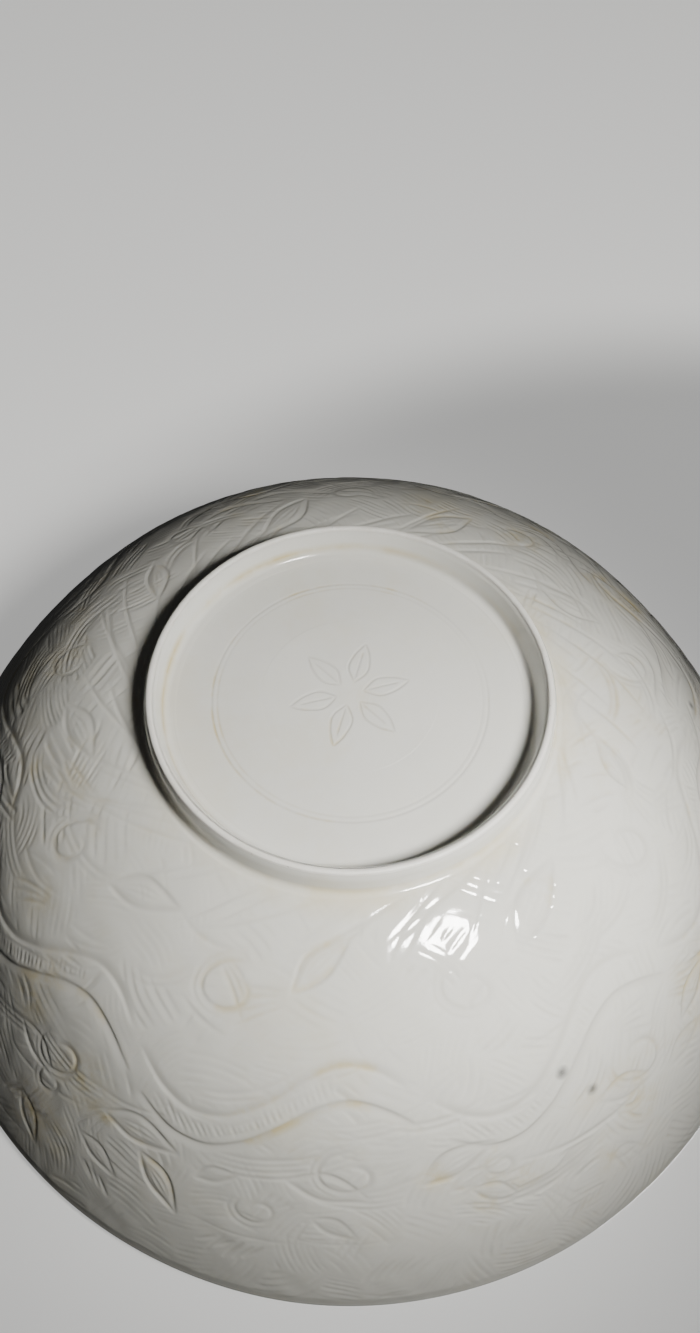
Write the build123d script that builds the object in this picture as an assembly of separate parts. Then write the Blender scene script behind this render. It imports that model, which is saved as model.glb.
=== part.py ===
from build123d import *
import math
import os

os.makedirs("parts", exist_ok=True)

# A porcelain serving bowl on a turned foot ring, standing upright.
# Units are millimetres. The foot's resting edge lies in the plane z = 0, the
# bowl's axis is Z and +Z points out of the mouth.

# Driving sizes of the finished, glazed bowl.
mouth_radius = 115.0
bowl_height = 69.0
lip_radius = 1.6

foot_edge_outer_radius = 45.0
foot_edge_inner_radius = 43.0
foot_join_radius = 45.9
foot_height = 6.1

recess_depth = 6.5
recess_radius = 41.2

# Slope of the wall above the horizontal: where it leaves the foot, where the
# full belly turns into the straighter side, and at the rim.
slope_at_foot = 6.0
slope_at_turn = 51.0
slope_at_rim = 61.0

# Thickness of the fired body and of its glaze coat.
floor_thickness = 3.7
glaze_thickness = 0.35

# Where the glaze is wiped off the foot before firing.
bare_edge_height = 0.7
bare_edge_taper = 0.5

# Glaze pools in the two corners beside the foot.
outer_corner_radius = 1.4
recess_corner_radius = 1.0


def direction(slope):
    """Unit vector that climbs outwards along a surface of this slope."""
    return Vector(math.cos(math.radians(slope)), math.sin(math.radians(slope)))


def inward(slope):
    """Unit vector from that surface towards the inside of the bowl."""
    return Vector(-math.sin(math.radians(slope)), math.cos(math.radians(slope)))


def arc_point(start, radius, slope_a, slope_b):
    """End of an arc that begins at start and turns from slope_a to slope_b."""
    a = math.radians(slope_a)
    b = math.radians(slope_b)
    across = radius * (math.sin(b) - math.sin(a))
    up = radius * (math.cos(a) - math.cos(b))
    return start + Vector(across, up)


def two_radii(start, end, slope_a, slope_b, slope_c):
    """Radii of two tangent arcs from start to end through three slopes."""
    a, b, c = (math.radians(s) for s in (slope_a, slope_b, slope_c))
    m11 = math.sin(b) - math.sin(a)
    m12 = math.sin(c) - math.sin(b)
    m21 = math.cos(a) - math.cos(b)
    m22 = math.cos(b) - math.cos(c)
    dx = end.X - start.X
    dy = end.Y - start.Y
    det = m11 * m22 - m12 * m21
    return (dx * m22 - dy * m12) / det, (dy * m11 - dx * m21) / det


def wall_edges(start, end, slope_a, slope_b, slope_c):
    """Two tangent arcs that draw one side of the wall from start to end."""
    radius_1, radius_2 = two_radii(start, end, slope_a, slope_b, slope_c)
    half_1 = (slope_a + slope_b) / 2
    half_2 = (slope_b + slope_c) / 2
    turn = arc_point(start, radius_1, slope_a, slope_b)
    belly = ThreePointArc(start, arc_point(start, radius_1, slope_a, half_1), turn)
    side = ThreePointArc(turn, arc_point(turn, radius_2, slope_b, half_2), end)
    return [belly, side]


def rounded(face, corner, radius):
    """The profile with the corner nearest to this point filleted."""
    vertex = min(face.vertices(), key=lambda v: (Vector(v.X, v.Y) - corner).length)
    return fillet(vertex, radius)


def spin(edges, corner=None, radius=0.0):
    """A solid of revolution about Z from a closed profile of (radius, height)."""
    face = make_face(edges)
    if corner is not None:
        face = rounded(face, corner, radius)
    standing = Plane.XZ * face
    return revolve(standing, axis=Axis.Z)


lip_centre = Vector(mouth_radius - lip_radius, bowl_height - lip_radius)


def lip_point(radius, part_of_turn):
    """Point on the rounded lip: 0 at the outside, 0.5 at its crest, 1 inside."""
    angle = math.radians(slope_at_rim - 90 + 180 * part_of_turn)
    return lip_centre + Vector(math.cos(angle), math.sin(angle)) * radius


def lip_arc(radius, part_a, part_b):
    middle = (part_a + part_b) / 2
    return ThreePointArc(
        lip_point(radius, part_a), lip_point(radius, middle), lip_point(radius, part_b)
    )


# Outer and inner sides of the foot, by height above the resting edge. The
# inset moves a point from the glazed surface to the fired body under it.
foot_lean = (foot_join_radius - foot_edge_outer_radius) / foot_height
recess_lean = (foot_edge_inner_radius - recess_radius) / recess_depth


def foot_outside(height, inset=0.0):
    return Vector(foot_edge_outer_radius + foot_lean * height - inset, height)


def foot_inside(height, inset=0.0):
    return Vector(foot_edge_inner_radius - recess_lean * height + inset, height)


body_recess_top = recess_depth + glaze_thickness
floor_disc_radius = foot_inside(body_recess_top, glaze_thickness).X

# Corner points of the glazed outside and inside surfaces.
inside_floor = recess_depth + floor_thickness
outside_start = Vector(foot_join_radius, foot_height)
outside_end = lip_point(lip_radius, 0)
inside_start = Vector(floor_disc_radius, inside_floor)
inside_end = lip_point(lip_radius, 1)

# The same points on the fired body, one glaze thickness below the surface.
body_lip = lip_radius - glaze_thickness
body_out_start = outside_start + inward(slope_at_foot) * glaze_thickness
body_out_end = lip_point(body_lip, 0)
body_in_start = inside_start - inward(0) * glaze_thickness
body_in_end = lip_point(body_lip, 1)
body_floor_top = body_in_start.Y
seat_height = body_out_start.Y


def outside_wall(start, end):
    return wall_edges(start, end, slope_at_foot, slope_at_turn, slope_at_rim)


def inside_wall(start, end):
    return wall_edges(start, end, 0.0, slope_at_turn, slope_at_rim)


def along(start, end, height):
    """Point at this height on the straight line from start to end."""
    share = (height - start.Y) / (end.Y - start.Y)
    return start + (end - start) * share


# Fired porcelain body: the panel inside the foot.
panel_profile = Polyline(
    (0, body_recess_top),
    (floor_disc_radius, body_recess_top),
    (floor_disc_radius, body_floor_top),
    (0, body_floor_top),
    close=True,
)
bowl_floor = spin(panel_profile.edges())

# Fired porcelain body: the ring the bowl stands on, with its bare edge eased.
edge_ease = 0.35
foot_corner_in = foot_inside(edge_ease, glaze_thickness)
foot_corner_out = foot_outside(edge_ease, glaze_thickness)
foot_seat_in = foot_inside(seat_height, glaze_thickness)
foot_profile = Polyline(
    foot_corner_in,
    foot_inside(0, glaze_thickness + edge_ease),
    foot_outside(0, glaze_thickness + edge_ease),
    foot_corner_out,
    body_out_start,
    foot_seat_in,
    close=True,
)
foot_ring = spin(foot_profile.edges())

# Fired porcelain body: the wall from the foot to the rounded lip. Its root also
# closes the top of the recess, round the panel.
recess_corner = Vector(floor_disc_radius, body_recess_top)
wall_seat = Polyline(body_in_start, recess_corner, foot_seat_in, body_out_start)
wall_profile = (
    outside_wall(body_out_start, body_out_end)
    + [lip_arc(body_lip, 0, 0.5), lip_arc(body_lip, 0.5, 1)]
    + inside_wall(body_in_start, body_in_end)
    + list(wall_seat.edges())
)
bowl_wall = spin(wall_profile)

# Glaze on the outside, from the wiped foot edge to the crest of the lip.
foot_wipe_out = along(foot_corner_out, body_out_start, bare_edge_height)
full_coat_out = foot_outside(bare_edge_height + bare_edge_taper)
exterior_profile = (
    outside_wall(outside_start, outside_end)
    + [lip_arc(lip_radius, 0, 0.5)]
    + [Line(lip_point(lip_radius, 0.5), lip_point(body_lip, 0.5))]
    + [lip_arc(body_lip, 0, 0.5)]
    + outside_wall(body_out_start, body_out_end)
    + list(
        Polyline(body_out_start, foot_wipe_out, full_coat_out, outside_start).edges()
    )
)
exterior_glaze = spin(exterior_profile, outside_start, outer_corner_radius)

# Glaze on the inside, from the crest of the lip down over the bowl's floor.
interior_profile = (
    inside_wall(inside_start, inside_end)
    + [lip_arc(lip_radius, 0.5, 1)]
    + [Line(lip_point(lip_radius, 0.5), lip_point(body_lip, 0.5))]
    + [lip_arc(body_lip, 0.5, 1)]
    + inside_wall(body_in_start, body_in_end)
    + list(
        Polyline(
            body_in_start, (0, body_floor_top), (0, inside_floor), inside_start
        ).edges()
    )
)
interior_glaze = spin(interior_profile)

# Glaze in the foot's recess, up the inner side of the foot to the wiped edge.
foot_wipe_in = along(foot_corner_in, recess_corner, bare_edge_height)
full_coat_in = foot_inside(bare_edge_height + bare_edge_taper)
base_corner = Vector(recess_radius, recess_depth)
base_profile = Polyline(
    (0, recess_depth),
    base_corner,
    full_coat_in,
    foot_wipe_in,
    recess_corner,
    (0, body_recess_top),
    close=True,
)
base_glaze = spin(base_profile.edges(), base_corner, recess_corner_radius)

pieces = {
    "bowl_wall": bowl_wall,
    "bowl_floor": bowl_floor,
    "foot_ring": foot_ring,
    "exterior_glaze": exterior_glaze,
    "interior_glaze": interior_glaze,
    "base_glaze": base_glaze,
}
for name, piece in pieces.items():
    piece.label = name
    export_step(piece, "parts/" + name + ".step")
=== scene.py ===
import math
import random

import bpy
import numpy as np
from mathutils import Matrix, Vector


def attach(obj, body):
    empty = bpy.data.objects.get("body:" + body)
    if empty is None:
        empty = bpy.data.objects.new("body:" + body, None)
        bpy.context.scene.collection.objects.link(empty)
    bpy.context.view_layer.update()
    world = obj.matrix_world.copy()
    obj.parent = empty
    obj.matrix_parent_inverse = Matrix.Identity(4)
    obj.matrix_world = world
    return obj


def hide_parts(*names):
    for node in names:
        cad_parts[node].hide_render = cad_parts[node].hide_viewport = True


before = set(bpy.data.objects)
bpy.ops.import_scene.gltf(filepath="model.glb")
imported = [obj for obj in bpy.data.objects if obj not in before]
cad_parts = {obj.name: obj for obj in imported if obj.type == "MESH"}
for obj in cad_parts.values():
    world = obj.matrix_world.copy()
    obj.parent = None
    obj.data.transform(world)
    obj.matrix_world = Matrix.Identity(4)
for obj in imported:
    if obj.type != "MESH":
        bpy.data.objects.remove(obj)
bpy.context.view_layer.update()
MM = 0.001

# ---------------------------------------------------------------------------
# Sizes of the glazed bowl in millimetres, the same as the CAD's.

MOUTH_RADIUS = 115.0
BOWL_HEIGHT = 69.0
LIP_RADIUS = 1.6
FOOT_EDGE_OUT = 45.0
FOOT_EDGE_IN = 43.0
FOOT_JOIN = 45.9
FOOT_HEIGHT = 6.1
RECESS_DEPTH = 6.5
RECESS_RADIUS = 41.2
FLOOR_HEIGHT = 10.2
FLOOR_RADIUS = 41.46
SLOPE_FOOT, SLOPE_TURN, SLOPE_RIM = 6.0, 51.0, 61.0

AROUND = 2400
WALL_ROWS = 300


def wall_arcs(start, end, slopes):
    """The two tangent arcs of one side of the wall: (centre, radius, slopes)."""
    a, b, c = (math.radians(s) for s in slopes)
    turns = np.array(
        [
            [math.sin(b) - math.sin(a), math.sin(c) - math.sin(b)],
            [math.cos(a) - math.cos(b), math.cos(b) - math.cos(c)],
        ]
    )
    first, second = np.linalg.solve(turns, np.subtract(end, start))
    return [(a, b, first), (b, c, second)]


def wall_line(start, end, slopes, rows):
    """Evenly spaced points (radius, height) up one side of the wall, with slopes."""
    arcs = wall_arcs(start, end, slopes)
    lengths = [radius * (b - a) for a, b, radius in arcs]
    points = []
    for reach in np.linspace(0, sum(lengths), rows):
        x, z = start
        left = reach
        for (a, b, radius), length in zip(arcs, lengths):
            turn = min(left / radius, b - a)
            x += radius * (math.sin(a + turn) - math.sin(a))
            z += radius * (math.cos(a) - math.cos(a + turn))
            slope = a + turn
            left -= length
            if left <= 0:
                break
        points.append((x, z, slope))
    return np.array(points), sum(lengths)


def lip_line(part_a, part_b, count):
    """Points (radius, height, slope) round the lip: 0 outside, 0.5 crest, 1 inside."""
    angles = np.radians(SLOPE_RIM - 90 + 180 * np.linspace(part_a, part_b, count))
    centre_x, centre_z = MOUTH_RADIUS - LIP_RADIUS, BOWL_HEIGHT - LIP_RADIUS
    return np.column_stack(
        [
            centre_x + LIP_RADIUS * np.cos(angles),
            centre_z + LIP_RADIUS * np.sin(angles),
            angles + math.pi / 2,
        ]
    )


# ---------------------------------------------------------------------------
# Carving. The outside is laid out flat as seen from below: the axis is at
# (0, 0), the foot joins the wall on a circle of FOOT_JOIN, and a point further
# up the wall lies further out. Across is -X of the bowl and up is +Y.


def smooth_path(points, step=0.7):
    """A curve through these points, as closely spaced points."""
    p = np.array(points, float)
    if len(p) == 2:
        p = np.array([p[0], (p[0] + p[1]) / 2, p[1]])
    ends = np.vstack([2 * p[0] - p[1], p, 2 * p[-1] - p[-2]])
    out = []
    for i in range(len(p) - 1):
        a, b, c, d = ends[i : i + 4]
        count = max(2, int(np.hypot(*(c - b)) / step))
        t = np.linspace(0, 1, count, endpoint=False)[:, None]
        out.append(
            0.5
            * (
                2 * b
                + (c - a) * t
                + (2 * a - 5 * b + 4 * c - d) * t**2
                + (3 * b - a - 3 * c + d) * t**3
            )
        )
    out.append(p[-1:])
    return np.vstack(out)


class Relief:
    """Depth of the carving over a flat square sheet, in millimetres."""

    def __init__(self, half, pitch):
        self.half = half
        self.pitch = pitch
        count = int(round(2 * half / pitch)) + 1
        self.depth = np.zeros((count, count), np.float32)
        self.line = np.linspace(-half, half, count)

    def groove(self, points, depth, left=0.5, right=0.5, taper=0.25):
        """Cuts along a line: steep where a side is narrow, slanted where it is wide."""
        path = smooth_path(points)
        last = len(path) - 1
        pad = max(left, right) * 1.3 + self.pitch
        for start in range(0, last, 8):
            part = path[start : min(start + 8, last) + 1]
            x0, x1 = np.searchsorted(self.line, [part[:, 0].min() - pad, part[:, 0].max() + pad])
            y0, y1 = np.searchsorted(self.line, [part[:, 1].min() - pad, part[:, 1].max() + pad])
            if x1 <= x0 or y1 <= y0:
                continue
            xs, ys = np.meshgrid(self.line[x0:x1], self.line[y0:y1])
            nearest = np.full(xs.shape, 1e9)
            side = np.zeros(xs.shape)
            along = np.zeros(xs.shape)
            for i in range(len(part) - 1):
                dx, dy = part[i + 1] - part[i]
                length = max(math.hypot(dx, dy), 1e-6)
                px, py = xs - part[i, 0], ys - part[i, 1]
                t = np.clip((px * dx + py * dy) / length**2, 0, 1)
                gap = np.hypot(px - t * dx, py - t * dy)
                closer = gap < nearest
                nearest[closer] = gap[closer]
                side[closer] = (dx * py - dy * px)[closer]
                along[closer] = (start + i + t[closer]) / last
            width = np.where(side > 0, left, right)
            shape = np.clip(1 - nearest / (1.3 * width), 0, 1) ** 1.4
            ends = np.clip(np.minimum(along, 1 - along) / taper, 0, 1) ** 0.6
            window = self.depth[y0:y1, x0:x1]
            np.maximum(window, depth * shape * ends, out=window)

    def soften(self, passes):
        """Rounds the cuts as molten glaze does."""
        d = self.depth
        for _ in range(passes):
            d = (np.roll(d, 1, 0) + 2 * d + np.roll(d, -1, 0)) / 4
            d = (np.roll(d, 1, 1) + 2 * d + np.roll(d, -1, 1)) / 4
        self.depth = d

    def at(self, x, y):
        """Depth at these points, interpolated."""
        count = len(self.line)
        fx = np.clip((x + self.half) / self.pitch, 0, count - 1.001)
        fy = np.clip((y + self.half) / self.pitch, 0, count - 1.001)
        ix, iy = fx.astype(int), fy.astype(int)
        tx, ty = fx - ix, fy - iy
        d = self.depth
        low = d[iy, ix] * (1 - tx) + d[iy, ix + 1] * tx
        high = d[iy + 1, ix] * (1 - tx) + d[iy + 1, ix + 1] * tx
        return low * (1 - ty) + high * ty


def combed(relief, cells):
    """Fills the sheet with combed strokes. Each cell has its own nested arcs.

    A cell is (x, y, heading in degrees, arc radius, gap, depth, breaks); its strokes
    run along the heading, slant away on one side, and fade out at its border.
    """
    xs, ys = np.meshgrid(relief.line, relief.line)
    nearest = np.full(xs.shape, 1e9, np.float32)
    second = np.full(xs.shape, 1e9, np.float32)
    owner = np.zeros(xs.shape, int)
    window = 30.0
    for i, (x, y, heading, *_) in enumerate(cells):
        x0, x1 = np.searchsorted(relief.line, [x - window, x + window])
        y0, y1 = np.searchsorted(relief.line, [y - window, y + window])
        dx, dy = xs[y0:y1, x0:x1] - x, ys[y0:y1, x0:x1] - y
        c, s = math.cos(math.radians(heading)), math.sin(math.radians(heading))
        gap_to = np.hypot((dx * c + dy * s) / 1.5, dy * c - dx * s).astype(np.float32)
        near, far, own = nearest[y0:y1, x0:x1], second[y0:y1, x0:x1], owner[y0:y1, x0:x1]
        closer = gap_to < near
        far[:] = np.where(closer, near, np.minimum(far, gap_to))
        near[closer] = gap_to[closer]
        own[closer] = i
    x, y, heading, radius, gap, depth, breaks = (column[owner] for column in np.array(cells).T)
    turn = np.radians(heading)
    wobble = 0.5 * np.sin(xs * 0.23 + 1.7 * np.sin(ys * 0.17))
    wobble = wobble + 0.4 * np.sin(ys * 0.31 + 1.1 * np.sin(xs * 0.21))
    from_centre = np.hypot(xs - x - radius * np.sin(turn), ys - y + radius * np.cos(turn))
    phase = (from_centre - radius + wobble) / gap
    number = np.floor(phase)
    part = phase - number
    chance = np.abs(np.sin(number * 12.9898 + owner * 78.233) * 43758.5453) % 1.0
    along = np.arctan2(ys - y + radius * np.cos(turn), xs - x - radius * np.sin(turn)) * np.abs(radius)
    broken = np.clip(0.65 + 0.9 * np.sin(along / 2.6 + 44 * chance), 0, 1)
    strength = np.where(chance < 0.08, 0.0, 0.45 + 0.65 * chance) * (1 - breaks * (1 - broken))
    slope = np.clip(1 - part / 0.8, 0, 1) ** 1.3
    border = np.clip((second - nearest) / 2.2, 0, 1)
    cut = depth * strength * slope * border
    np.maximum(relief.depth, cut.astype(np.float32), out=relief.depth)


def arc(centre, radius_a, radius_b, start, end):
    """Points on part of an ellipse, angles in degrees."""
    angles = np.radians(np.linspace(start, end, 7))
    return [(centre[0] + radius_a * math.cos(a), centre[1] + radius_b * math.sin(a)) for a in angles]


def shifted(points, gap):
    """The same line moved sideways to its left."""
    p = np.array(points, float)
    d = np.gradient(p, axis=0)
    d /= np.maximum(np.hypot(d[:, 0], d[:, 1])[:, None], 1e-6)
    return p + np.column_stack([-d[:, 1], d[:, 0]]) * gap


def turned(points, degrees):
    """The same line carried round the bowl's axis."""
    p = np.array(points, float)
    c, s = math.cos(math.radians(degrees)), math.sin(math.radians(degrees))
    return np.column_stack([p[:, 0] * c - p[:, 1] * s, p[:, 0] * s + p[:, 1] * c])


def inside(polygon, points):
    """Which of these points lie in the polygon."""
    hit = np.zeros(len(points), bool)
    x, y = points[:, 0], points[:, 1]
    for (ax, ay), (bx, by) in zip(polygon, np.roll(polygon, -1, axis=0)):
        if ay == by:
            continue
        crosses = (ay > y) != (by > y)
        hit ^= crosses & (x < (bx - ax) * (y - ay) / (by - ay) + ax)
    return hit


def quieten(relief, polygon, share):
    """Makes everything cut so far inside an outline shallower."""
    polygon = np.array(polygon, float)
    x0, y0 = (np.searchsorted(relief.line, low) for low in polygon.min(axis=0))
    x1, y1 = (np.searchsorted(relief.line, high) for high in polygon.max(axis=0))
    xs, ys = np.meshgrid(relief.line[x0:x1], relief.line[y0:y1])
    hit = inside(polygon, np.column_stack([xs.ravel(), ys.ravel()])).reshape(xs.shape)
    relief.depth[y0:y1, x0:x1][hit] *= share


def hatch(relief, polygon, degrees, gap, depth, width=0.45):
    """Parallel cuts across an outline, a little uneven, as made freehand."""
    polygon = np.array(polygon, float)
    middle = polygon.mean(axis=0)
    span = np.hypot(*(polygon - middle).T).max()
    d = np.array([math.cos(math.radians(degrees)), math.sin(math.radians(degrees))])
    n = np.array([-d[1], d[0]])
    offset = -span
    while offset < span:
        bend, slant = rng.uniform(-0.1, 0.1), rng.uniform(-0.07, 0.07)
        t = np.arange(-span, span, 0.8)
        line = middle + n * offset + d * t[:, None] + n * (bend * t**2 / span + slant * t)[:, None]
        keep = inside(polygon, line)
        run = []
        for point, good in zip(line, list(keep[1:]) + [False]):
            run.append(point)
            if not good:
                if len(run) > 3:
                    strength = depth * rng.uniform(0.4, 1.2)
                    relief.groove(run[1::3] + [run[-1]], strength, width, width, 0.45)
                run = []
        offset += gap * rng.uniform(0.85, 1.15)


rng = random.Random(11)
outside = Relief(144.0, 0.16)
DEEP, FIRM, FINE = 0.34, 0.29, 0.17


def liveliness(degrees):
    """The carving is denser and deeper at the top and right than in front."""
    side = (degrees + 180) % 360 - 180
    if side > 15 or side < -155:
        return 2.6
    return 1.25 if side < -75 else 2.5


def cells_all_round():
    """Combing all over the wall: rings of cells, each with its own sweep."""
    cells = []
    for reach in (5, 13, 22, 31, 40, 50, 60, 70, 80, 89):
        r = FOOT_JOIN + reach
        count = int(2 * math.pi * r / 12.5)
        for k in range(count):
            degrees = 360 * (k + rng.uniform(-0.35, 0.35)) / count
            here = r + rng.uniform(-3, 3)
            x, y = here * math.cos(math.radians(degrees)), here * math.sin(math.radians(degrees))
            lively = liveliness(degrees)
            widest = 38 if lively > 2.5 else 70
            lean = rng.choice((-1, 1)) * rng.uniform(8, widest) if reach > 20 else rng.uniform(-60, -25)
            radius = rng.choice((-1, 1)) * rng.uniform(14, 60)
            depth = rng.uniform(0.05, 0.12) * lively
            cells.append((x, y, degrees + 90 + lean, radius, rng.uniform(1.3, 2.3), depth, 0.6))
    return cells


# Long strokes that lean together in front of the foot.
front_cells = []
for x, y, heading in (
    (4.0, -50.0, 60.0), (13.0, -53.0, 58.0), (22.0, -54.0, 52.0), (31.0, -51.0, 60.0),
    (14.0, -62.0, 48.0), (26.0, -63.0, 50.0),
):
    front_cells.append((x, y, heading, 48.0, 2.5, 0.2, 0.35))
combed(outside, cells_all_round() + front_cells)

# Flowing curls and long waves, laid round the wall.


def on_wall(degrees, reach):
    """A place on the flat layout from its direction and its distance up the wall."""
    r = FOOT_JOIN + reach
    return (r * math.cos(math.radians(degrees)), r * math.sin(math.radians(degrees)))


def curl(degrees, reach, size, tilt, depth):
    """A cloud-like curl: a hooked outline that winds in, and a line beside it."""
    cx, cy = on_wall(degrees, reach)
    hook = []
    for t in np.linspace(0, 1, 11):
        angle = math.radians(degrees + tilt - 160 + 400 * t)
        r = size * (1 - 0.72 * t)
        hook.append((cx + r * math.cos(angle), cy + 0.75 * r * math.sin(angle)))
    outside.groove(hook, depth, 0.5, 1.4)
    outside.groove(shifted(hook[:6], -1.6), depth * 0.6, 0.45, 0.9)


def leaf(degrees, reach, length, tilt, depth):
    """A pointed leaf: two slanted sides and three veins."""
    root = np.array(on_wall(degrees, reach))
    d = math.radians(degrees + tilt)
    along = np.array([math.cos(d), math.sin(d)])
    across = np.array([-along[1], along[0]])
    tip = root + along * length
    for side, wide in ((1, 0.2), (-1, 0.14)):
        belly = root + along * length * 0.45 + across * side * length * wide
        outside.groove([root, belly, tip], depth, 0.5 if side > 0 else 1.5, 1.5 if side > 0 else 0.5)
    for k in (-0.07, 0.0, 0.08):
        vein = root + along * length * 0.5 + across * k * length
        line = [root + along * length * 0.15, vein, tip - along * length * 0.15]
        outside.groove(line, depth * 0.5, 0.45, 0.45)


def tuft(degrees, reach, length, tilt, bend, count, depth):
    """Strokes that leave one root and spread, each bent the same way."""
    root = np.array(on_wall(degrees, reach))
    for n in range(count):
        spread = (n - (count - 1) / 2) * 7.5 + rng.uniform(-2, 2)
        d = math.radians(degrees + tilt + spread)
        far = length * rng.uniform(0.7, 1.1)
        side = np.array([-math.sin(d), math.cos(d)])
        begin = root + side * (n - (count - 1) / 2) * 0.9
        ahead = np.array([math.cos(d), math.sin(d)])
        line = [begin + ahead * far * t + side * bend * far * t * t for t in (0, 0.35, 0.7, 1)]
        outside.groove(line, depth * rng.uniform(0.6, 1.15), 0.4, rng.uniform(0.7, 1.2), 0.45)


for k in range(62):
    start = k * 5.8 + rng.uniform(-2, 2)
    sweep = rng.uniform(14, 34)
    reach = rng.uniform(6, 24)
    line = [on_wall(start - sweep * t, 0.6 + reach * t**1.3) for t in (0, 0.35, 0.7, 1)]
    depth = FINE * liveliness(start) * rng.uniform(0.4, 0.8)
    outside.groove(line, depth, 0.4, rng.uniform(0.6, 1.2), 0.4)

for k in range(84):
    start = k * 4.29 + rng.uniform(-3, 3)
    low = rng.uniform(12, 66)
    sweep = rng.uniform(8, 22)
    rise = rng.uniform(-4, 12)
    wave = [(t, low + rise * t + 2.5 * math.sin(3 * t)) for t in (0, 0.35, 0.7, 1)]
    line = [on_wall(start - sweep * t, reach) for t, reach in wave]
    for n in range(rng.choice((1, 2, 3, 4))):
        depth = FINE * liveliness(start) * rng.uniform(0.4, 0.8)
        outside.groove(shifted(line, 1.5 * n), depth, 0.4, rng.uniform(0.6, 1.3), 0.35)

# A plain running scroll in even bays: a winding stem of two slanted cuts with
# crossed hatching between them, and two curls and four leaves in each bay.
BAYS = 9
BAY = 360 / BAYS
STEM_WIDTH = 7.0


def stem_line(start, end, offset):
    """A stretch of the winding stem, so far outside its inner cut."""
    turns = np.linspace(start, end, 9)
    return [on_wall(d, 40 + 8 * math.sin(math.radians(BAYS * d)) + offset) for d in turns]


for bay in range(BAYS):
    start = bay * BAY
    first, last = start + 4, start + BAY * 0.7
    hatched = stem_line(first, last, 1.2) + stem_line(last, first, STEM_WIDTH - 1.2)
    quieten(outside, hatched, 0.25)
    hatch(outside, hatched, start + 48, 1.35, FINE * 1.15)
    hatch(outside, hatched, start - 44, 1.8, FINE * 0.85)
    outside.groove(stem_line(start, start + BAY - 2, 0), FIRM, 1.8, 0.5, 0.12)
    outside.groove(stem_line(start + 2, start + BAY, STEM_WIDTH), DEEP, 0.5, 1.8, 0.12)
    curl(start + BAY * 0.75, 56, rng.uniform(8, 10), rng.uniform(-40, 40), FIRM)
    curl(start + BAY * 0.25, 22, rng.uniform(6, 8), rng.uniform(-40, 40), FIRM * 0.8)
    for shift, reach, lean in ((0.55, 58, 70), (0.95, 60, 110), (0.1, 64, 50), (0.5, 20, 130)):
        length, tilt = rng.uniform(14, 22), lean + rng.uniform(-15, 15)
        leaf(start + BAY * shift, reach, length, tilt, FIRM * rng.uniform(0.8, 1.2))

# Curls, leaves and tufts strewn all round.
for k in range(26):
    degrees = 12 + k * 13.0 + rng.uniform(-4, 4)
    if k % 2:
        curl(degrees, rng.uniform(60, 70), rng.uniform(4, 6), rng.uniform(-60, 60), FINE * 1.3)
    reach, length, tilt = rng.uniform(62, 76), rng.uniform(10, 16), rng.uniform(40, 120)
    leaf(degrees + 6, reach, length, tilt, FIRM * rng.uniform(0.6, 0.9))
for k in range(64):
    degrees = k * 5.63 + rng.uniform(-3, 3)
    tilt = rng.choice((-1, 1)) * rng.uniform(35, 85)
    bend = rng.uniform(-0.35, 0.35)
    strength = FIRM * rng.uniform(0.4, 0.8)
    tuft(degrees, rng.uniform(14, 74), rng.uniform(9, 18), tilt, bend, rng.randint(3, 6), strength)

# Short wave strokes in groups under the rim, and long faint lines round it.
for k in range(24):
    start = k * 15 + rng.uniform(-4, 4)
    reach = rng.uniform(74, 84)
    slant = rng.choice((-1, 1)) * rng.uniform(0.4, 1.0)
    for n in range(rng.randint(3, 6)):
        a = on_wall(start + n * 1.1, reach + rng.uniform(-1, 1))
        b = on_wall(start + n * 1.1 + slant * 4, reach + rng.uniform(4, 7))
        outside.groove([a, b], FINE * rng.uniform(0.9, 1.8), 0.45, 0.8, 0.4)
for k in range(40):
    start = rng.uniform(0, 360)
    reach = rng.uniform(70, 93)
    sweep = rng.uniform(6, 16)
    line = [on_wall(start + sweep * t, reach + 1.5 * math.sin(3 * t)) for t in (0, 0.33, 0.66, 1)]
    outside.groove(line, FINE * rng.uniform(0.4, 0.9), 0.4, 0.5, 0.4)

# Broad slanted cuts that stream round the wall at the top and right.
for k in range(34):
    start = rng.uniform(8, 128)
    reach = rng.uniform(24, 68)
    rise = rng.uniform(-4, 18)
    sweep = rng.uniform(12, 26)
    sway = rng.uniform(1, 3)
    line = []
    for t in (0, 0.2, 0.4, 0.6, 0.8, 1):
        line.append(on_wall(start - sweep * t, reach + rise * t + sway * math.sin(5 * t)))
    outside.groove(line, FIRM * rng.uniform(1.15, 1.6), rng.uniform(1.6, 2.8), 0.5, 0.3)

# In front of the foot the carving is shallow and smooth.
quieten(outside, arc((19, -58), 19, 17, 0, 300), 0.72)
outside.soften(3)

# ---------------------------------------------------------------------------
# Base ornament: two fine turned rings and a plain six-leaf rosette.

base = Relief(42.0, 0.1)


def marked(points, depth, width=0.27):
    """A fine line in the glaze of the base."""
    base.groove(points, depth, width, width * 1.5, 0.12)


for radius, depth in ((31.0, 0.1), (29.8, 0.06)):
    ring = [(radius * math.cos(a), radius * math.sin(a)) for a in np.linspace(0.3, 6.7, 60)]
    marked(ring, depth)
for turn in range(15, 375, 60):
    for side in (-1, 1):
        marked(turned([(3, 0), (6.5, side * 2.2), (10.5, side * 1.7), (14, 0)], turn), 0.15)
    marked(turned([(4, 0), (11.5, 0)], turn), 0.11)
base.soften(2)


# ---------------------------------------------------------------------------
# Lathed sheets.


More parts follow.
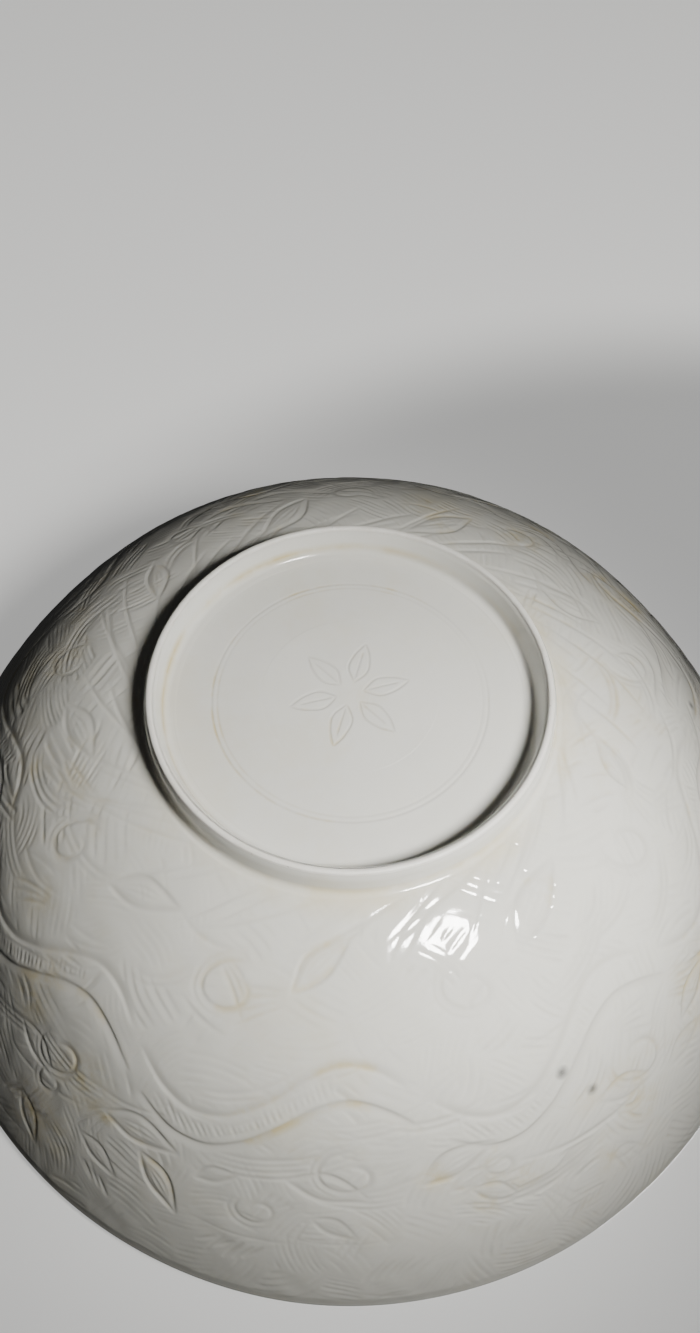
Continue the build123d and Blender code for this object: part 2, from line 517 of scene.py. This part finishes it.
def spun(name, rings, values=None, centre=False, outward=True):
    """A mesh from rings of points in millimetres, joined all the way round."""
    rows, count, _ = rings.shape
    points = rings.reshape(-1, 3) * MM
    index = np.arange(rows * count).reshape(rows, count)
    after = np.roll(index, -1, axis=1)
    quads = np.stack([index[:-1], after[:-1], after[1:], index[1:]], -1).reshape(-1, 4)
    if not outward:
        quads = quads[:, ::-1]
    if centre:
        points = np.vstack([points, [[0, 0, rings[0, :, 2].mean() * MM]]])
        hub = np.full(count, rows * count)
        fans = np.stack([hub, after[0], index[0]], -1)
        if not outward:
            fans = fans[:, ::-1]
    else:
        fans = np.zeros((0, 3), int)
    mesh = bpy.data.meshes.new(name)
    mesh.vertices.add(len(points))
    mesh.vertices.foreach_set("co", points.astype(np.float32).ravel())
    loops = np.concatenate([quads.ravel(), fans.ravel()])
    sizes = np.concatenate([np.full(len(quads), 4), np.full(len(fans), 3)])
    mesh.loops.add(len(loops))
    mesh.loops.foreach_set("vertex_index", loops.astype(np.int32))
    mesh.polygons.add(len(sizes))
    starts = np.concatenate([[0], np.cumsum(sizes)[:-1]])
    mesh.polygons.foreach_set("loop_start", starts.astype(np.int32))
    mesh.polygons.foreach_set("use_smooth", np.ones(len(sizes), bool))
    if values is not None:
        attribute = mesh.attributes.new("carved", "FLOAT", "POINT")
        flat = values.reshape(-1)
        if centre:
            flat = np.append(flat, values[0].mean())
        attribute.data.foreach_set("value", flat.astype(np.float32))
    mesh.update(calc_edges=True)
    mesh.validate()
    piece = bpy.data.objects.new(name, mesh)
    bpy.context.scene.collection.objects.link(piece)
    return piece


def around(count):
    return np.linspace(0, 2 * math.pi, count, endpoint=False)


def rings_from(line, count, push=None):
    """Rings of points from (radius, height, slope) rows, pushed out by push."""
    a = around(count)
    radius = np.repeat(line[:, 0:1], count, axis=1)
    height = np.repeat(line[:, 1:2], count, axis=1)
    if push is not None:
        radius = radius + push * np.sin(line[:, 2:3])
        height = height - push * np.cos(line[:, 2:3])
    return np.stack([radius * np.cos(a), radius * np.sin(a), height], -1)


# Outside: foot side, corner where the glaze pools, wall, and lip to its crest.
outside_start = (FOOT_JOIN, FOOT_HEIGHT)
outside_end = tuple(lip_line(0, 0, 1)[0, :2])
outside_slopes = (SLOPE_FOOT, SLOPE_TURN, SLOPE_RIM)
wall, wall_length = wall_line(outside_start, outside_end, outside_slopes, WALL_ROWS)
wall_reach = np.linspace(0, wall_length, WALL_ROWS)
foot_lean = math.atan2(FOOT_JOIN - FOOT_EDGE_OUT, FOOT_HEIGHT)


def foot_side(height):
    return FOOT_EDGE_OUT + (FOOT_JOIN - FOOT_EDGE_OUT) * height / FOOT_HEIGHT


foot_rows = []
for height in (0.62, 0.74, 0.88, 1.04, 1.22, 1.45, 1.75, 2.1, 2.6, 3.2, 3.8, 4.4, 4.9):
    inset = 0.45 * max(0.0, 1 - (height - 0.62) / 1.6) ** 1.8
    foot_rows.append((foot_side(height) - inset, height, math.pi / 2 - foot_lean))
begin = foot_rows[-1]
stop = wall[int(np.searchsorted(wall_reach, 1.3))]
for t in np.linspace(0.12, 0.9, 8):
    bend_x, bend_z = FOOT_JOIN, FOOT_HEIGHT
    x = (1 - t) ** 2 * begin[0] + 2 * t * (1 - t) * bend_x + t**2 * stop[0]
    z = (1 - t) ** 2 * begin[1] + 2 * t * (1 - t) * bend_z + t**2 * stop[1]
    slope = (1 - t) * begin[2] + t * stop[2]
    foot_rows.append((x, z, slope))
kept = wall_reach >= 1.3
lip_out = lip_line(0, 0.5, 9)[1:]
line = np.vstack([np.array(foot_rows), wall[kept], lip_out])
past_wall = wall_length + 0.3 * np.arange(1, 9)
reach = np.concatenate([np.full(len(foot_rows), -10.0), wall_reach[kept], past_wall])
angles = around(AROUND)
layout_r = FOOT_JOIN + reach[:, None]
across, up = -layout_r * np.cos(angles), layout_r * np.sin(angles)
cut = outside.at(across, up)
fade = np.clip((reach - 0.2) / 1.5, 0, 1) * np.clip((wall_length - 0.5 - reach) / 2.0, 0, 1)
cut = cut * fade[:, None]
waver = 0.07 * np.sin(3 * angles + 1) + 0.05 * np.sin(7 * angles) + 0.03 * np.sin(13 * angles + 2)
swell = 0.2 * fade[:, None] + waver * np.clip(reach / 20, 0, 1)[:, None]
uneven = np.sin(across * 0.61 + 1.9 * np.sin(up * 0.37))
uneven = uneven + np.sin(up * 0.53 + 1.7 * np.sin(across * 0.41))
uneven = 0.022 * uneven * np.clip(reach / 6, 0, 1)[:, None] * fade[:, None]
push = np.maximum(swell + uneven - cut, -0.3)
rings = rings_from(line, AROUND, push)
exterior = spun("carved_outside", rings, values=np.clip(cut / 0.35, 0, 1), outward=False)

# Inside: from the middle of the floor to the crest of the lip.
inside_start = (FLOOR_RADIUS, FLOOR_HEIGHT)
inside_end = tuple(lip_line(1, 1, 1)[0, :2])
inner, _ = wall_line(inside_start, inside_end, (0.0, SLOPE_TURN, SLOPE_RIM), 90)
floor_line = np.array([(r, FLOOR_HEIGHT, 0.0) for r in np.linspace(0.5, FLOOR_RADIUS, 40)[:-1]])
line = np.vstack([floor_line, inner, lip_line(1, 0.5, 9)[1:]])
count = 360
a = around(count)
rows = np.arange(len(line))[:, None]
ripple = 0.03 * np.sin(rows * 0.55 + 0.6 * np.sin(a)) + 0.04 * np.sin(2 * a + rows * 0.03)
ripple = ripple * np.clip(1.2 - np.abs(rows / len(line) - 0.5) * 2.2, 0, 1)
interior = spun("smooth_inside", rings_from(line, count, -ripple), centre=True, outward=True)

# Recess: floor with its faint rosette, cove, inner side of the foot.
RECESS_CORNER = 1.0
recess_lean = (FOOT_EDGE_IN - RECESS_RADIUS) / RECESS_DEPTH


def recess_side(height):
    return FOOT_EDGE_IN - recess_lean * height


flat_edge = RECESS_RADIUS - RECESS_CORNER
line = [(r, RECESS_DEPTH, math.pi) for r in np.linspace(0.3, flat_edge, 260)]
side_start = RECESS_DEPTH - RECESS_CORNER
for t in np.linspace(0.1, 1.0, 9):
    x = (1 - t) ** 2 * flat_edge + 2 * t * (1 - t) * RECESS_RADIUS + t**2 * recess_side(side_start)
    z = RECESS_DEPTH - t**2 * RECESS_CORNER
    line.append((x, z, math.pi - 1.3 * t))
for height in np.linspace(side_start - 0.5, 1.9, 7):
    line.append((recess_side(height), height, 1.8))
for height in (1.6, 1.3, 1.0, 0.8, 0.7):
    inset = 0.25 * max(0.0, 1 - (height - 0.7) / 1.0) ** 1.5
    line.append((recess_side(height) + inset, height, 1.8))
line = np.array(line)
count = 900
a = around(count)
r = line[:, 0:1]
mark = base.at(-r * np.cos(a), r * np.sin(a)) * (r < 38)
uneven = 0.04 * np.sin(r * 0.5 + np.sin(a)) * (r < 39) + 0.05 * np.sin(2 * a) * (r > 20)
height_push = np.stack([np.zeros_like(mark), np.zeros_like(mark), mark + uneven * (r < 39.5)], -1)
rings = rings_from(line, count) + height_push
base_sheet = spun("recess_glaze", rings, values=np.clip(mark / 0.09, 0, 1), centre=True, outward=True)

# Foot edge: the bare ring the bowl stands on, ground and a little chipped.
profile = [(45.1, 2.0), (44.75, 1.0), (44.62, 0.6), (44.5, 0.26), (44.32, 0.07), (44.0, 0.0),
           (43.55, 0.06), (43.32, 0.24), (43.18, 0.55), (43.1, 1.0), (42.7, 2.0)]
foot_count = 1200
a = around(foot_count)
wear = np.zeros(foot_count)
for k in range(60):
    where, size = rng.uniform(0, 2 * math.pi), rng.uniform(0.004, 0.02)
    gap = np.abs((a - where + math.pi) % (2 * math.pi) - math.pi)
    wear = np.maximum(wear, rng.uniform(0.03, 0.16) * np.clip(1 - gap / size, 0, 1))
rings = []
for x, z in profile:
    rise = wear * max(0.0, 1 - z / 0.6) * (0.3 if z == 0 else 1)
    rings.append(np.stack([x * np.cos(a), x * np.sin(a), z + rise], -1))
foot_edge = spun("bare_foot_edge", np.array(rings), outward=True)

# ---------------------------------------------------------------------------
# Materials.


class Nodes:
    """Short way to add and join the nodes of one material."""

    def __init__(self, name):
        self.material = bpy.data.materials.new(name)
        self.material.use_nodes = True
        self.tree = self.material.node_tree
        self.tree.nodes.clear()
        self.out = self.add("ShaderNodeOutputMaterial")

    def add(self, kind, **values):
        node = self.tree.nodes.new(kind)
        for key, value in values.items():
            setattr(node, key, value)
        return node

    def join(self, source, target):
        self.tree.links.new(source, target)

    def noise(self, scale, detail=3.0, rough=0.5):
        node = self.add("ShaderNodeTexNoise")
        node.inputs["Scale"].default_value = scale
        node.inputs["Detail"].default_value = detail
        node.inputs["Roughness"].default_value = rough
        self.join(self.place, node.inputs["Vector"])
        return node.outputs["Fac"]

    def ramp(self, value, low, high, to_low=0.0, to_high=1.0):
        node = self.add("ShaderNodeMapRange", clamp=True)
        self.join(value, node.inputs["Value"])
        limits = {"From Min": low, "From Max": high, "To Min": to_low, "To Max": to_high}
        for key, number in limits.items():
            node.inputs[key].default_value = number
        return node.outputs["Result"]

    def maths(self, operation, a, b):
        node = self.add("ShaderNodeMath", operation=operation)
        for socket, value in zip(node.inputs, (a, b)):
            if isinstance(value, (int, float)):
                socket.default_value = value
            else:
                self.join(value, socket)
        return node.outputs[0]

    def mix(self, share, a, b):
        node = self.add("ShaderNodeMix", data_type="RGBA")
        colours = [s for s in node.inputs if s.type == "RGBA"]
        for socket, value in ((node.inputs["Factor"], share), (colours[0], a), (colours[1], b)):
            if isinstance(value, tuple):
                socket.default_value = (*value, 1.0)
            elif isinstance(value, (int, float)):
                socket.default_value = value
            else:
                self.join(value, socket)
        return [s for s in node.outputs if s.type == "RGBA"][0]

    def start(self):
        """Object coordinates, so that the detail keeps its real size."""
        self.place = self.add("ShaderNodeTexCoord").outputs["Object"]
        split = self.add("ShaderNodeSeparateXYZ")
        self.join(self.place, split.inputs[0])
        self.x, self.y, self.z = split.outputs


OCHRE = (0.6, 0.49, 0.22)
IRON = (0.07, 0.07, 0.075)


def around_place(m, place, near, far, strength):
    """A share that is full near a place (metres) and fades out with distance."""
    gap = m.add("ShaderNodeVectorMath", operation="DISTANCE")
    m.join(m.place, gap.inputs[0])
    gap.inputs[1].default_value = place
    return m.ramp(gap.outputs["Value"], near * MM, far * MM, strength, 0.0)


def glaze(name, tint, specks=(), patches=(), stains=True, corner_stain=None, pooling=0.46):
    """Clear glossy glaze on white porcelain, warmer where it pools.

    Specks are iron spots and patches are ochre stains in the cuts, each as
    (place, size, strength). corner_stain is (low, high, x, y, strength): a stain
    between two heights, on the side of the bowl that x, y points to. pooling is
    how much darker the glaze is in the cuts.
    """
    m = Nodes(name)
    m.start()
    shader = m.add("ShaderNodeBsdfPrincipled")
    carved = m.add("ShaderNodeAttribute", attribute_name="carved").outputs["Fac"]
    cloud = m.ramp(m.noise(28, 4, 0.6), 0.35, 0.65)
    colour = m.mix(cloud, tint, tuple(c * k for c, k in zip(tint, (0.965, 0.97, 0.965))))
    mottle = m.ramp(m.noise(210, 3, 0.6), 0.35, 0.7)
    greyer = tuple(c * k for c, k in zip(tint, (0.94, 0.935, 0.91)))
    colour = m.mix(m.maths("MULTIPLY", mottle, 0.25), colour, greyer)
    pool = m.ramp(carved, 0.04, 0.85, 0.0, pooling)
    colour = m.mix(pool, colour, (0.49, 0.475, 0.425))
    fine = m.noise(260, 5, 0.7)
    if stains:
        patch = m.ramp(m.noise(42, 5, 0.65), 0.54, 0.67)
        ochre = m.maths("MULTIPLY", patch, m.ramp(carved, 0.12, 0.7, 0.1, 0.7))
        colour = m.mix(ochre, colour, OCHRE)
    for place, size, strength in patches:
        share = around_place(m, place, size * 0.2, size, strength)
        share = m.maths("MULTIPLY", share, m.ramp(fine, 0.38, 0.62))
        share = m.maths("MULTIPLY", share, m.ramp(carved, 0.0, 0.45, 0.5, 1.0))
        colour = m.mix(share, colour, OCHRE)
    if corner_stain:
        low, high, toward_x, toward_y, strength = corner_stain
        middle = (low + high) / 2 * MM
        rise = m.ramp(m.z, low * MM, middle)
        fall = m.ramp(m.z, middle, high * MM, 1.0, 0.0)
        side = m.maths("ADD", m.maths("MULTIPLY", m.x, toward_x), m.maths("MULTIPLY", m.y, toward_y))
        band = m.maths("MULTIPLY", rise, fall)
        share = m.maths("MULTIPLY", band, m.ramp(side, -0.005, 0.035, 0.2, strength))
        share = m.maths("MULTIPLY", share, m.ramp(m.noise(75, 4, 0.6), 0.38, 0.62, 0.12, 1.0))
        colour = m.mix(share, colour, OCHRE)
    dots = m.add("ShaderNodeTexVoronoi", feature="F1")
    dots.inputs["Scale"].default_value = 95
    m.join(m.place, dots.inputs["Vector"])
    split = m.add("ShaderNodeSeparateColor")
    m.join(dots.outputs["Color"], split.inputs[0])
    rare = m.ramp(split.outputs[0], 0.972, 0.98)
    small = m.ramp(dots.outputs["Distance"], 0.012, 0.03, 0.5, 0.0)
    colour = m.mix(m.maths("MULTIPLY", rare, small), colour, (0.12, 0.09, 0.06))
    for place, size, strength in specks:
        share = around_place(m, place, size * 0.15, size, strength)
        colour = m.mix(m.maths("MULTIPLY", share, m.ramp(fine, 0.3, 0.6, 0.6, 1.0)), colour, IRON)
    m.join(colour, shader.inputs["Base Color"])
    gloss = m.ramp(m.noise(60, 4, 0.6), 0.3, 0.75, 0.06, 0.12)
    m.join(gloss, shader.inputs["Roughness"])
    shader.inputs["IOR"].default_value = 1.5
    shader.inputs["Subsurface Weight"].default_value = 0.1
    shader.inputs["Subsurface Radius"].default_value = (0.0012, 0.0011, 0.0009)
    shader.inputs["Subsurface Scale"].default_value = 1.0
    shader.inputs["Coat Weight"].default_value = 0.25
    shader.inputs["Coat Roughness"].default_value = 0.03
    bump = m.add("ShaderNodeBump")
    bump.inputs["Strength"].default_value = 0.35
    bump.inputs["Distance"].default_value = 0.00006
    m.join(m.noise(520, 4, 0.55), bump.inputs["Height"])
    m.join(bump.outputs["Normal"], shader.inputs["Normal"])
    m.join(shader.outputs["BSDF"], m.out.inputs["Surface"])
    return m.material


def bare(name):
    """Unglazed fired porcelain: fine, dull, greyed where it is rubbed."""
    m = Nodes(name)
    m.start()
    shader = m.add("ShaderNodeBsdfPrincipled")
    grime = m.ramp(m.noise(160, 5, 0.7), 0.4, 0.7)
    colour = m.mix(grime, (0.84, 0.828, 0.78), (0.77, 0.745, 0.68))
    specks = m.ramp(m.noise(1500, 2, 0.5), 0.7, 0.76)
    colour = m.mix(m.maths("MULTIPLY", specks, 0.35), colour, (0.2, 0.17, 0.13))
    m.join(colour, shader.inputs["Base Color"])
    shader.inputs["Roughness"].default_value = 0.42
    bump = m.add("ShaderNodeBump")
    bump.inputs["Strength"].default_value = 0.35
    bump.inputs["Distance"].default_value = 0.00006
    m.join(m.noise(2200, 3, 0.6), bump.inputs["Height"])
    m.join(bump.outputs["Normal"], shader.inputs["Normal"])
    m.join(shader.outputs["BSDF"], m.out.inputs["Surface"])
    return m.material


def wall_spot(degrees, reach):
    """Where a place on the flat layout is on the bowl, in metres."""
    row = wall[int(np.searchsorted(wall_reach, reach))]
    x, y = -row[0] * math.cos(math.radians(degrees)), row[0] * math.sin(math.radians(degrees))
    return (x * MM, y * MM, row[1] * MM)


def flat_spot(across, up):
    """Where a point of the flat layout is on the bowl, in metres."""
    return wall_spot(math.degrees(math.atan2(up, across)), math.hypot(across, up) - FOOT_JOIN)


WHITE = (0.735, 0.728, 0.675)
iron = [
    (wall_spot(-61.1, 45.8), 1.8, 0.85),
    (wall_spot(-57.9, 54.0), 1.7, 0.8),
    (wall_spot(4.5, 42.0), 1.6, 0.8),
    (wall_spot(150, 0.0), 0.6, 0.7),
]
ochre_cuts = [
    (flat_spot(18.5, -103), 5, 0.6), (flat_spot(40, -104), 5, 0.6), (flat_spot(52, -87), 5, 0.5),
    (flat_spot(-55, -92), 2.5, 0.9), (flat_spot(-72, -65), 8, 0.9), (flat_spot(-60, -84), 10, 0.85),
    (flat_spot(-64, -60), 6, 0.6), (flat_spot(-70, 15), 9, 0.5), (flat_spot(-66, 42), 8, 0.4),
    (flat_spot(-80, -95), 13, 0.85), (flat_spot(72, 40), 11, 0.6), (flat_spot(45, 52), 10, 0.6),
    (flat_spot(62, -103), 5, 0.6), (flat_spot(72, -90), 5, 0.6), (flat_spot(85, -70), 6, 0.5),
    (flat_spot(-66, -45), 6, 0.6), (flat_spot(-70, 28), 7, 0.5), (flat_spot(20, 62), 8, 0.5),
]
wall_glaze = glaze("outer_glaze", WHITE, iron, ochre_cuts, corner_stain=(4.3, 6.9, -0.75, -0.6, 0.6))
exterior.data.materials.append(wall_glaze)
interior.data.materials.append(glaze("inner_glaze", WHITE, stains=False))
middle_stain = [((-0.002, -0.001, RECESS_DEPTH * MM), 7, 0.3)]
base_tint = (0.765, 0.758, 0.712)
recess_stain = (3.4, 6.45, 0.8, 0.6, 0.85)
base_glaze = glaze("base_glaze", base_tint, (), middle_stain, corner_stain=recess_stain, pooling=0.36)
base_sheet.data.materials.append(base_glaze)
clay = bare("fired_body")
foot_edge.data.materials.append(clay)
for node in ("bowl_wall", "bowl_floor"):
    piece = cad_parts[node]
    piece.data.materials.clear()
    piece.data.materials.append(clay)

for piece, node, slot in (
    (exterior, "exterior_glaze", "outer_glaze"),
    (interior, "interior_glaze", "inner_glaze"),
    (base_sheet, "base_glaze", "base_glaze"),
    (foot_edge, "foot_ring", "porcelain_body"),
):
    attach(piece, "root")
    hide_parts(node)

# ---------------------------------------------------------------------------
# Stage. The bowl stands on one floor; seen from below it lies on a second one
# under its rim. Each floor shows only from its own side.


def floor(name, corners, faces_up, colour, glow):
    """A pale sheet; its glow keeps it pale where the lamps do not reach."""
    mesh = bpy.data.meshes.new(name)
    mesh.from_pydata(corners, [], [(0, 1, 2, 3) if faces_up else (3, 2, 1, 0)])
    sheet = bpy.data.objects.new(name, mesh)
    bpy.context.scene.collection.objects.link(sheet)
    m = Nodes(name)
    shader = m.add("ShaderNodeBsdfPrincipled")
    shader.inputs["Base Color"].default_value = (colour, colour, colour * 0.985, 1)
    shader.inputs["Roughness"].default_value = 0.9
    shader.inputs["Emission Color"].default_value = (1, 1, 0.985, 1)
    shader.inputs["Emission Strength"].default_value = glow
    clear = m.add("ShaderNodeBsdfTransparent")
    both = m.add("ShaderNodeMixShader")
    side = m.add("ShaderNodeNewGeometry").outputs["Backfacing"]
    steep = m.add("ShaderNodeLayerWeight")
    steep.inputs["Blend"].default_value = 0.5
    if faces_up:
        share = side
    else:
        share = m.maths("MAXIMUM", side, m.ramp(steep.outputs["Facing"], 0.72, 0.85))
    m.join(share, both.inputs[0])
    m.join(shader.outputs["BSDF"], both.inputs[1])
    m.join(clear.outputs["BSDF"], both.inputs[2])
    m.join(both.outputs[0], m.out.inputs["Surface"])
    mesh.materials.append(m.material)
    sheet.visible_shadow = False
    sheet.visible_diffuse = False
    sheet.visible_glossy = False
    sheet.visible_transmission = False


def sheet_corners(left, right, near, far, height):
    return [(left, near, height), (right, near, height), (right, far, height), (left, far, height)]


floor("floor_under_foot", sheet_corners(-40, 40, -40, 40, -0.0002), True, 0.42, 0.3)
rim_height = BOWL_HEIGHT * MM + 0.0002
floor("floor_under_rim", sheet_corners(-0.34, 0.34, -0.2, 0.6, rim_height), False, 0.42, 0.42)

# The camera looks up at the foot from below the bowl, with the picture's top
# towards the floor the foot would stand on.
camera = bpy.data.objects.new("camera", bpy.data.cameras.new("camera"))
bpy.context.scene.collection.objects.link(camera)
bpy.context.scene.camera = camera
camera.data.sensor_width = 36
camera.data.lens = 23.82
view_rise = math.radians(57.1)
look = Vector((0, math.cos(view_rise), math.sin(view_rise)))
up = Vector((0, math.sin(view_rise), -math.cos(view_rise)))
right = look.cross(up)
turn = Matrix((right, up, -look)).transposed()
camera.matrix_world = Matrix.Translation((0, -0.1028, -0.1634)) @ turn.to_4x4()
camera.data.clip_start = 0.01


def camera_lamp(kind, name, place, energy, size, near_share, far_share):
    """A lamp that stays beside the camera.

    Up to NEAR it fades with distance; further away it keeps a constant
    strength, so that the bowl is lit as well when the camera steps back.
    """
    data = bpy.data.lights.new(name, kind)
    data.energy = energy
    data.shadow_soft_size = size
    data.color = (1.0, 0.985, 0.95)
    data.use_nodes = True
    nodes = data.node_tree.nodes
    links = data.node_tree.links
    fading = nodes.new("ShaderNodeLightFalloff")
    fading.inputs["Strength"].default_value = 1.0
    share = nodes.new("ShaderNodeMapRange")
    share.interpolation_type = "SMOOTHSTEP"
    share.inputs["From Min"].default_value = NEAR
    share.inputs["From Max"].default_value = NEAR + 0.055
    links.new(fading.outputs["Linear"], share.inputs["Value"])
    both = nodes.new("ShaderNodeMix")
    links.new(share.outputs["Result"], both.inputs[0])
    for output, amount, socket in (("Quadratic", near_share, 2), ("Constant", far_share, 3)):
        times = nodes.new("ShaderNodeMath")
        times.operation = "MULTIPLY"
        times.inputs[1].default_value = amount
        links.new(fading.outputs[output], times.inputs[0])
        links.new(times.outputs[0], both.inputs[socket])
    links.new(both.outputs[0], nodes["Emission"].inputs["Strength"])
    lamp = bpy.data.objects.new(name, data)
    bpy.context.scene.collection.objects.link(lamp)
    lamp.parent = camera
    lamp.location = place
    lamp.visible_camera = False
    return lamp


# The spot gives the light and shade close by and the wide lamp further away;
# the small lamp only gives the glints.
NEAR = 0.385
beside = (0.137, 0.0045, 0.0276)
soft_spot = camera_lamp("SPOT", "soft_spot", beside, 5.95, 0.038, 1.0, 0.0)
soft_spot.rotation_euler = Vector((-0.127, -0.045, -0.214)).to_track_quat("-Z", "Y").to_euler()
soft_spot.data.spot_size = math.radians(56.5)
soft_spot.data.spot_blend = 1.0
soft_spot.visible_glossy = False
wide_lamp = camera_lamp("POINT", "wide_lamp", beside, 5.64, 0.038, 0.0, 13.5)
wide_lamp.visible_glossy = False
glint_lamp = camera_lamp("POINT", "glint_lamp", (0.077, 0.018, 0.030), 3.8, 0.024, 1.0, 16.0)
glint_lamp.visible_diffuse = False

# A wide soft light high overhead, for the inside of the standing bowl.
top_data = bpy.data.lights.new("top_light", "SUN")
top_data.energy = 3.0
top_data.angle = math.radians(25)
top = bpy.data.objects.new("top_light", top_data)
bpy.context.scene.collection.objects.link(top)
top.rotation_euler = Vector((0.22, -0.12, -1)).to_track_quat("-Z", "Y").to_euler()

world = bpy.data.worlds.new("studio")
bpy.context.scene.world = world
world.use_nodes = True
studio = world.node_tree
backdrop = studio.nodes["Background"]
backdrop.inputs[0].default_value = (0.99, 0.99, 1.0, 1)
seen = studio.nodes.new("ShaderNodeLightPath")
strength = studio.nodes.new("ShaderNodeMapRange")
strength.inputs["To Min"].default_value = 0.02
strength.inputs["To Max"].default_value = 0.72
studio.links.new(seen.outputs["Is Camera Ray"], strength.inputs["Value"])
studio.links.new(strength.outputs["Result"], backdrop.inputs[1])
